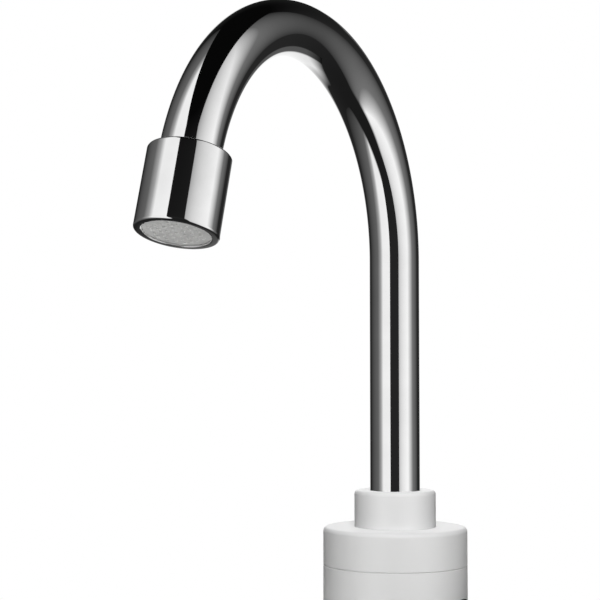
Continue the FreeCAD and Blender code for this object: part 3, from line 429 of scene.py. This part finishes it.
# Outlet screen: the grey face that the water leaves through, with a small paler nozzle round every hole.
# Both are moulded in soft silicone, so that scale can be rubbed off, and the housing's lip keeps them in.
screen_r = lip_r - 0.1 * mm
screen_back = lip_top - 1.3 * mm
screen_face = housing_end - 0.55 * mm
screen_rim = 0.35 * mm
screen_flange_r = screen_r + 0.4 * mm
screen_ledge = lip_top - 0.05 * mm
rim_face = housing_end - 0.1 * mm
rim_edge = 0.08 * mm
nozzle_pitch = 2.9 * mm
nozzle_row_pitch = nozzle_pitch * math.sqrt(3) / 2
nozzle_reach = lip_r - 1.5 * mm
nozzle_r = 0.8 * mm
nozzle_mouth_r = 0.28 * mm
nozzle_wall = 0.18 * mm
nozzle_height = 0.35 * mm
nozzle_root = 0.1 * mm
nozzle_dip = 0.1 * mm
nozzle_turn = Matrix.Rotation(math.radians(16), 2)
# Silicone rubber, moulded: mid grey, soft, a little translucent and dull
grey_silicone = moulded("Silicone rubber, grey, moulded", "#d2d2d2", "#dadada", 0.8 * mm, 0.01 * mm,
                        0.45, 0.58, 1.41)
# The same rubber in a paler grey: the nozzles are made a little paler than the face
pale_silicone = moulded("Silicone rubber, pale, moulded", "#ececec", "#f0f0f0", 0.8 * mm, 0.01 * mm,
                        0.45, 0.58, 1.41)
screen = turned([
    (0, screen_back, 0),
    (screen_flange_r, screen_back, 0.2 * mm),
    (screen_flange_r, screen_ledge, 0),
    (screen_r, screen_ledge, 0),
    (screen_r, rim_face, rim_edge),
    (screen_r - screen_rim, rim_face, rim_edge),
    (screen_r - screen_rim, screen_face, 0),
    (0, screen_face, 0),
], 96)
nozzle_rows = int(nozzle_reach / nozzle_row_pitch) + 1
for row in range(-nozzle_rows, nozzle_rows + 1):
    for column in range(-2 * nozzle_rows, 2 * nozzle_rows + 1):
        x = column * nozzle_pitch + (row % 2) * nozzle_pitch / 2
        y = row * nozzle_row_pitch
        if math.hypot(x, y) > nozzle_reach:
            continue
        x, y = nozzle_turn @ Vector((x, y))
        cone = bmesh.ops.create_cone(screen, cap_ends=True, segments=12, radius1=nozzle_r,
                                     radius2=nozzle_mouth_r + nozzle_wall,
                                     depth=nozzle_height + nozzle_root)["verts"]
        z = screen_face + (nozzle_height - nozzle_root) / 2
        bmesh.ops.translate(screen, vec=(x, y, z), verts=cone)
        sides = {face for vert in cone for face in vert.link_faces}
        for face in sides:
            face.material_index = 1
        top = [face for face in sides if face.normal.z > 0.9]
        bmesh.ops.inset_region(screen, faces=top, thickness=nozzle_wall)
        bmesh.ops.translate(screen, vec=(0, 0, -nozzle_dip), verts=top[0].verts)
bmesh.ops.transform(screen, matrix=at_spout_end, verts=screen.verts)
outlet = set_in_place(screen, "Outlet_screen", grey_silicone, "spout", "outlet_screen")
outlet.data.materials.append(pale_silicone)

# Handle: a round hub with one flat, slightly swept lever, pressed on the valve's spindle by a screw.
# It is die-cast in zinc in one piece, polished all over and chrome plated, so no edge on it is sharp.
lever_low, lever_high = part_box("handle_lever")
hub_r = lever_high.z - handle_z
hub_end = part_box("handle_screw_cap")[1].x - 0.3 * mm
hub_start = lever_low.x + 3.6 * mm
skirt_r = hub_r - 2.3 * mm
spindle_r = 4.05 * mm
screw_hole_r = 5.0 * mm
cap_seat_r = 7.0 * mm
cap_seat = hub_end - 2.0 * mm
screw_seat = hub_start + 14.0 * mm
screw_r = 2.2 * mm
screw_web = screw_seat - 1.8 * mm
hub_round = 2.5 * mm
lever_end = lever_low.y
on_handle_axis = Matrix.Translation((0, 0, handle_z)) @ Matrix.Rotation(math.pi / 2, 4, "Y")
lever = turned([
    (spindle_r, hub_start, 0),
    (skirt_r, hub_start, 0),
    (skirt_r, lever_low.x, 0),
    (hub_r, lever_low.x, 0.3 * mm),
    (hub_r, hub_end, hub_round),
    (cap_seat_r, hub_end, 0.2 * mm),
    (cap_seat_r, cap_seat, 0),
    (screw_hole_r, cap_seat, 0),
    (screw_hole_r, screw_seat, 0),
    (screw_r, screw_seat, 0),
    (screw_r, screw_web, 0),
    (spindle_r, screw_web, 0),
])
bmesh.ops.transform(lever, matrix=on_handle_axis, verts=lever.verts)
lever_mid = hub_start + 0.6 * (hub_end - hub_start)
# Each station is a place along the lever with its half height, its half thickness and its sweep
stations = [
    (-0.62 * hub_r, 6.8 * mm, 4.6 * mm, 0.0),
    (0.55 * lever_end, 6.0 * mm, 3.9 * mm, 1.2 * mm),
    (0.80 * lever_end, 5.6 * mm, 3.3 * mm, 2.8 * mm),
    (0.97 * lever_end, 5.2 * mm, 2.9 * mm, 4.4 * mm),
    (lever_end, 3.8 * mm, 1.5 * mm, 4.6 * mm),
]
arm = bmesh.ops.create_circle(lever, cap_ends=True, segments=64, radius=1.0)["verts"]
for index, (y, high, thick, out) in enumerate(stations):
    if index:
        grown = bmesh.ops.extrude_face_region(lever, geom=[face])["geom"]
        arm = [part for part in grown if isinstance(part, bmesh.types.BMVert)]
    face = next(face for face in arm[0].link_faces if len(face.verts) == len(arm))
    spot = Vector((lever_mid + out, y, handle_z))
    for order, vert in enumerate(arm):
        angle = 2 * math.pi * order / len(arm)
        vert.co = spot + Vector((thick * math.cos(angle), 0, high * math.sin(angle)))
bmesh.ops.recalc_face_normals(lever, faces=lever.faces)
cast = set_in_place(lever, "Handle_lever", chromed_zinc, "handle", "handle_lever", 180)
cast.modifiers.clear()
one_skin = cast.modifiers.new("One skin", "REMESH")
one_skin.mode = "VOXEL"
one_skin.voxel_size = 0.3 * mm
one_skin.use_smooth_shade = True
polished = cast.modifiers.new("Polished edges", "SMOOTH")
polished.factor = 0.5
polished.iterations = 24

# Handle screw cap: the small domed button that covers the screw in the hub.
# It is turned from brass, chrome plated with the handle, and pushed in.
button_low, button_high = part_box("handle_screw_cap")
button_r = button_high.y
button = turned([
    (0, button_low.x, 0),
    (button_r, button_low.x, 0.2 * mm),
    (button_r, button_high.x - 0.25 * mm, 0.5 * mm),
    (0.55 * button_r, button_high.x, 0),
    (0, button_high.x, 0),
], 96)
bmesh.ops.transform(button, matrix=on_handle_axis, verts=button.verts)
set_in_place(button, "Handle_screw_cap", chromed_zinc, "handle", "handle_screw_cap")

# Cord gland: the fitting in the body's back that the mains lead comes in through.
# Its body and cap are moulded in white nylon, and a rubber sleeve between them grips the lead.
# Nylon 66, moulded: creamy white, waxy and even
white_nylon = moulded("Nylon 66, white, moulded", "#e6e5e0", "#dddcd6", 0.5 * mm, 0.01 * mm,
                      0.38, 0.46, 1.53)
skinned("cord_gland", "Cord_gland", white_nylon, "body")
skinned("cord_gland_cap", "Cord_gland_cap", white_nylon, "body")
skinned("cord_gland_seal", "Cord_gland_seal", black_rubber, "body")

# Inlet shank: the threaded pipe that goes through the deck and takes the water hose.
# It is turned from brass bar, with a half-inch pipe thread from the foot to the tail.
shank_low, shank_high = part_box("inlet_shank")
shank_r = 10.48 * mm
thread_pitch = 1.814 * mm
thread_depth = 1.1 * mm
root_r = shank_r - thread_depth
shank_bore = 6.5 * mm
filter_seat_r = 8.2 * mm
filter_seat = shank_low.z + 3.0 * mm
flange_r = shank_high.x
flange_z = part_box("base_cover")[0].z + 4.0 * mm
flange_top = flange_z + 4.0 * mm
spigot_r = 9.0 * mm
groove_z = shank_high.z - 5.0 * mm
groove_half = 1.15 * mm
groove_r = spigot_r - 1.95 * mm
thread_steps = 48
thread_lead_in = 1.4 * mm
thread_run_out = 1.2 * mm
tooth_sink = 0.25 * mm


def machined(name, colour, shade, groove, relief, gloss, matt, across):
    # Fine tool marks run round the piece, a little uneven, over a metal that is dull in patches.
    # At a scale of one the pattern's bands lie 2 pi / 20 apart.
    material, tree, shader, place = surface(name, colour, shade, gloss, matt, 9 * mm, 5.0)
    shader.inputs["Metallic"].default_value = 1.0
    bands = 2 * math.pi / (20 * groove)
    marks = add_node(tree, "ShaderNodeTexWave", {"bands_direction": across},
                     {"Vector": place, "Scale": bands, "Distortion": 1.5, "Detail": 2.0})
    bump = add_node(tree, "ShaderNodeBump", {}, {"Height": marks.outputs[1], "Distance": relief})
    tree.links.new(bump.outputs["Normal"], shader.inputs["Normal"])
    return material


# Free-cutting brass, turned: warm yellow with fine rings from the tool, drawn 0.35 mm apart to show
turned_brass = machined("Brass, turned", "#c6a05a", "#b58d49", 0.35 * mm, 0.006 * mm, 0.2, 0.34, "Z")
shank = turned([
    (filter_seat_r, shank_low.z, 0.2 * mm),
    (root_r, shank_low.z, 0.4 * mm),
    (root_r, flange_z, 0),
    (flange_r, flange_z, 0),
    (flange_r, flange_top, 0.5 * mm),
    (spigot_r, flange_top, 0),
    (spigot_r, groove_z - groove_half, 0),
    (groove_r, groove_z - groove_half, 0),
    (groove_r, groove_z + groove_half, 0),
    (spigot_r, groove_z + groove_half, 0),
    (spigot_r, shank_high.z, 0.5 * mm),
    (shank_bore, shank_high.z, 0),
    (shank_bore, filter_seat, 0),
    (filter_seat_r, filter_seat, 0),
], 144)
thread_start = shank_low.z + thread_lead_in
thread_turns = (flange_z - thread_run_out - thread_start) / thread_pitch
# Each corner of the tooth is a share of the pitch and a rise from the root
tooth = [(-0.45, -tooth_sink), (-0.12, thread_depth), (0.12, thread_depth), (0.45, -tooth_sink)]
tooth_verts = [shank.verts.new((root_r + rise, 0, thread_start + share * thread_pitch))
               for share, rise in tooth]
tooth_face = shank.faces.new(tooth_verts)
steps = int(thread_turns * thread_steps)
wound = bmesh.ops.spin(shank, geom=tooth_verts + tooth_face.edges[:], axis=(0, 0, 1), cent=(0, 0, 0),
                       dvec=(0, 0, thread_pitch / thread_steps), angle=2 * math.pi * steps / thread_steps,
                       steps=steps)["geom_last"]
shank.faces.new([part for part in wound if isinstance(part, bmesh.types.BMVert)])
bmesh.ops.recalc_face_normals(shank, faces=shank.faces)
set_in_place(shank, "Inlet_shank", turned_brass, "body", "inlet_shank", 30)

# Inlet filter: the cup with a fine mesh that keeps grit out of the valve.
# It is pressed from stainless steel and sits in the tail of the shank.
# Stainless steel, drawn and brushed: neutral grey with soft streaks
stainless = machined("Stainless steel, drawn", "#bcbcba", "#adadab", 0.5 * mm, 0.004 * mm, 0.22, 0.36, "Z")
skinned("inlet_filter", "Inlet_filter", stainless, "body")

# Clamp: a rubber washer, a steel washer and the hexagon nut that pull the tap down on the deck.
# They run on the shank's thread from below; the nut is cut from brass bar and the washer is zinc plated.
# Zinc plate on steel: pale, faintly blue, with a soft shine
zinc_plated = machined("Zinc plate on steel", "#c3c6ca", "#b3b7bd", 0.45 * mm, 0.004 * mm, 0.26, 0.4, "X")
skinned("rubber_washer", "Rubber_washer", black_rubber, "clamp")
skinned("steel_washer", "Steel_washer", zinc_plated, "clamp")
skinned("mounting_nut", "Mounting_nut", turned_brass, "clamp")

# Inner pieces of the spout and the foot: seals, ferrule, slip ring, insert and screws, hidden inside.
# They keep the solids' own shapes: brass and steel are machined, rings are moulded rubber, the rest acetal.
# Acetal, moulded: plain cool white, slippery and a little glossy
white_acetal = moulded("Acetal, white, moulded", "#e4e4e0", "#dadad6", 0.6 * mm, 0.006 * mm, 0.3, 0.4, 1.48)


def finish_nodes(material, *nodes):
    # Solids that are shown as they are, in their real finish.
    for node in nodes:
        for place in frame["nodes"][node].material_slots:
            place.material = material


finish_nodes(turned_brass, "spout_ferrule")
finish_nodes(black_rubber, "spout_o_rings", "aerator_gasket")
finish_nodes(white_acetal, "spout_slip_ring", "aerator_insert")
finish_nodes(zinc_plated, "base_screws")

# Heater: the small tank under the cap with its lid and seals, and the bent element with its cut-out.
# Tank and lid are moulded in glass-filled PPS, the element is a stainless tube, and screws hold the lid.
# PPS with glass fibre, moulded: black, dull, with pale flecks of fibre
black_pps = moulded("PPS, glass filled, black", "#1d1d1d", "#2a2a29", 0.9 * mm, 0.02 * mm, 0.5, 0.66, 1.6)
# Nylon with flame retardant, moulded: black and satin
black_nylon = moulded("Nylon, black, moulded", "#1a1a1b", "#232325", 0.5 * mm, 0.01 * mm, 0.4, 0.5, 1.53)
finish_nodes(black_pps, "tank_cup", "tank_lid")
finish_nodes(black_rubber, "tank_o_ring", "port_o_ring")
finish_nodes(zinc_plated, "tank_screws", "element_terminals")
finish_nodes(stainless, "heating_element")
finish_nodes(grey_silicone, "element_seals")
finish_nodes(turned_brass, "element_nuts")
finish_nodes(black_nylon, "thermal_cutout")

# Valve: the brass body on the shank, and the cartridge with two ceramic discs that the spindle turns.
# The body is forged and machined, the discs are sintered alumina lapped flat, and the cartridge is acetal.
# Alumina, sintered and lapped: ivory white and smooth, with a faint grain
alumina = moulded("Alumina ceramic, lapped", "#ece8dc", "#e2ddcf", 0.4 * mm, 0.002 * mm, 0.1, 0.18, 1.76)
finish_nodes(turned_brass, "valve_body", "cartridge_nut", "valve_spindle")
finish_nodes(black_rubber, "cartridge_seal", "spindle_o_ring", "shank_o_ring")
finish_nodes(white_acetal, "cartridge_body")
finish_nodes(alumina, "fixed_disc", "moving_disc")
finish_nodes(stainless, "handle_screw")

# Flow switch: a membrane that the water pushes, and behind it a plunger, a spring and a snap-action switch.
# The cover is moulded in PPS and screwed to the valve, and the switch clips between its two arms.
# The spring is wound from stainless wire and gets a mesh of its own; here it keeps one shape and does not
# squeeze as the plunger moves.
# Polyester, moulded: the glossy red of a switch button
red_plastic = moulded("Polyester, red, moulded", "#b3281f", "#a3211a", 0.4 * mm, 0.004 * mm,
                      0.28, 0.36, 1.55)
finish_nodes(black_rubber, "switch_membrane")
finish_nodes(black_pps, "membrane_cover")
finish_nodes(zinc_plated, "cover_screws")
finish_nodes(white_acetal, "switch_plunger")
spring = skinned("plunger_spring", "Plunger_spring", stainless, "body", 60)
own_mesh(spring)
finish_nodes(black_nylon, "microswitch")
finish_nodes(red_plastic, "microswitch_button")

# Wiring: the terminal block inside the barrel, its screws, the gland's inner nut and the four leads.
# The block is moulded in ivory nylon, and the leads have silicone sleeves that stand the tank's heat.
# Nylon, natural: ivory, waxy and slightly see-through at thin edges
ivory_nylon = moulded("Nylon, ivory, moulded", "#ddd5b8", "#d2c9a9", 0.5 * mm, 0.01 * mm, 0.4, 0.5, 1.53)
# Silicone sleeve, extruded: pale buff, dull and slightly dusty
wire_sleeve = moulded("Silicone sleeve, buff", "#c9c3b2", "#bdb6a3", 0.7 * mm, 0.01 * mm, 0.5, 0.62, 1.41)
finish_nodes(ivory_nylon, "terminal_block")
finish_nodes(turned_brass, "terminal_screws")
finish_nodes(white_nylon, "cord_gland_nut")
finish_nodes(wire_sleeve, "lead_wires")

# Floor: a plain round pale table top that the tap stands on.
# It is painted board with a faint roller grain.
floor_gap = 0.5 * mm
floor_z = cad_box[0][2] - floor_gap
floor_r = 600 * mm
# Emulsion paint, rolled: off-white and dull
pale_paint = moulded("Emulsion paint, off-white", "#e9e9e7", "#e8e8e6", 3 * mm, 0.05 * mm, 0.7, 0.85, 1.45)
table = bmesh.new()
bmesh.ops.create_circle(table, cap_ends=True, segments=128, radius=floor_r)
bmesh.ops.translate(table, vec=(0, 0, floor_z), verts=table.verts)
floor = as_object(table, "Floor")
floor.data.materials.append(pale_paint)
for thing in bpy.context.scene.objects:
    # Mirrors show the studio alone, because the tap's chrome shows neither the floor nor its own parts.
    thing.visible_glossy = False

# Studio: a tall soft box on each side of the camera's line of sight and a white board behind the tap.
# Each is gauze over lamps, bright in one part, so the chrome shows it as a smooth band with a hard edge.
# They light nothing but mirrors: three lamps that no mirror shows light the white mouldings and the floor.
camera_spot = Vector((247.6, -532.8, 161.47)) * mm
ahead = Vector((camera_spot.x, camera_spot.y, 0)).normalized()
aside = Vector((-ahead.y, ahead.x, 0))


def soft_box(name, rows, stops):
    # Each row is a height, its share of the glow and how far it leans back from the row below.
    # Each stop is a place in plan, ahead of the tap and to its right, with the gauze's full glow there.
    # Lengths are in millimetres, and the cuts make the glow change smoothly from one stop to the next.
    made = bmesh.new()
    glow = made.verts.layers.float.new("glow")
    feet = []
    for near, right, level in stops:
        feet.append(made.verts.new((ahead * near + aside * right) * mm))
        feet[-1][glow] = level
    rim = [made.edges.new(pair) for pair in zip(feet, feet[1:])]
    shares = {}
    for height, share, lean in rows:
        if shares:
            grown = bmesh.ops.extrude_edge_only(made, edges=rim)["geom"]
            rim = [part for part in grown if isinstance(part, bmesh.types.BMEdge)]
        for vert in {vert for edge in rim for vert in edge.verts}:
            vert.co -= ahead * lean * mm
            vert.co.z = height * mm
            shares[vert] = share
    for vert, share in shares.items():
        vert[glow] *= share
    bmesh.ops.subdivide_edges(made, edges=made.edges[:], cuts=7, use_grid_fill=True)
    thing = as_object(made, name)
    gauze = bpy.data.materials.new(name)
    gauze.use_nodes = True
    tree = gauze.node_tree
    tree.nodes.remove(tree.nodes["Principled BSDF"])
    level = add_node(tree, "ShaderNodeAttribute", {"attribute_name": "glow"}, {})
    light = add_node(tree, "ShaderNodeEmission", {}, {"Strength": level.outputs["Fac"]})
    tree.links.new(light.outputs[0], tree.nodes["Material Output"].inputs["Surface"])
    thing.data.materials.append(gauze)
    thing.visible_camera = False
    thing.visible_diffuse = False
    thing.visible_shadow = False


lamp_target = Vector((0, -70, 110)) * mm


def lamp(name, spot, size, power):
    # A square lamp that faces the tap's middle and shows in no mirror.
    light = bpy.data.lights.new(name, "AREA")
    light.size = size
    light.energy = power
    thing = bpy.data.objects.new(name, light)
    thing.location = spot
    thing.rotation_euler = (lamp_target - spot).to_track_quat("-Z", "Y").to_euler()
    thing.visible_camera = False
    thing.visible_glossy = False
    bpy.context.scene.collection.objects.link(thing)


foot_share = 0.03
left_gap = -617
soft_box("Left_box", [(-1750, foot_share, 0), (-1250, 1, 0), (250, 1, 0), (1800, 1, 260)], [
    (1700, left_gap, 1.35),
    (450, left_gap, 1.3),
    (290, left_gap, 0.55),
    (100, left_gap, 0.18),
    (-600, left_gap, 0.03),
])
right_gap = 250
soft_box("Right_box", [(-900, foot_share, 0), (-450, 1, 0), (300, 1, 0), (800, 0.6, 0)], [
    (690, right_gap, 0.75),
    (130, right_gap, 1.4),
    (0, right_gap, 0.25),
    (-170, right_gap, 0.05),
])
back_gap = -1000
soft_box("Back_board", [(-620, foot_share, 0), (-200, 1, 0), (830, 1, 0)], [
    (back_gap, 480, 0.03),
    (back_gap, 430, 0.12),
    (back_gap, 200, 0.12),
    (back_gap, 130, 1.1),
    (back_gap, -180, 1.1),
    (back_gap, -450, 0.1),
])
lamp("Top_lamp", Vector((0, -100, 1300)) * mm, 900 * mm, 9.5)
lamp("Front_lamp", Vector((440, -770, 600)) * mm, 500 * mm, 6.0)
lamp("Back_lamp", Vector((-380, 820, 400)) * mm, 700 * mm, 4.0)
# The camera sees plain white behind the tap, and for all else the room past the boxes is dim:
# a dark grey floor, a little more at eye level and next to nothing overhead
studio = bpy.data.worlds.new("Studio")
bpy.context.scene.world = studio
studio.use_nodes = True
tree = studio.node_tree
way = add_node(tree, "ShaderNodeTexCoord", {}, {}).outputs["Generated"]
height = add_node(tree, "ShaderNodeSeparateXYZ", {}, {"Vector": way}).outputs["Z"]
below = add_node(tree, "ShaderNodeMapRange", {}, {
    "Value": height, "From Min": -0.9, "From Max": 0.0, "To Min": 0.016, "To Max": 0.027})
above = add_node(tree, "ShaderNodeMapRange", {}, {
    "Value": height, "From Min": 0.3, "From Max": 0.8, "To Min": 0.0, "To Max": 0.024})
dim = add_node(tree, "ShaderNodeMath", {"operation": "SUBTRACT"},
               {0: below.outputs[0], 1: above.outputs[0]})
seen = add_node(tree, "ShaderNodeLightPath", {}, {}).outputs["Is Camera Ray"]
shown = add_node(tree, "ShaderNodeMath", {"operation": "MAXIMUM"}, {0: seen, 1: dim.outputs[0]})
tree.links.new(shown.outputs[0], tree.nodes["Background"].inputs["Strength"])
tree.nodes["Background"].inputs["Color"].default_value = linear("#ffffff")
bpy.context.scene.view_settings.view_transform = "Standard"

# Camera: a long lens a little over half a metre from the tap, level with the lower third of the spout.
# It looks slightly up, as the photograph does, so the barrel runs out of the frame at the bottom.
line_of_sight = Vector((-0.4788, 0.8765, 0.0500))
camera_data = bpy.data.cameras.new("Camera")
camera_data.sensor_width = 36
camera_data.lens = 87.14
camera_data.clip_start = 10 * mm
camera = bpy.data.objects.new("Camera", camera_data)
camera.location = camera_spot
camera.rotation_euler = line_of_sight.to_track_quat("-Z", "Y").to_euler()
bpy.context.scene.collection.objects.link(camera)
bpy.context.scene.camera = camera
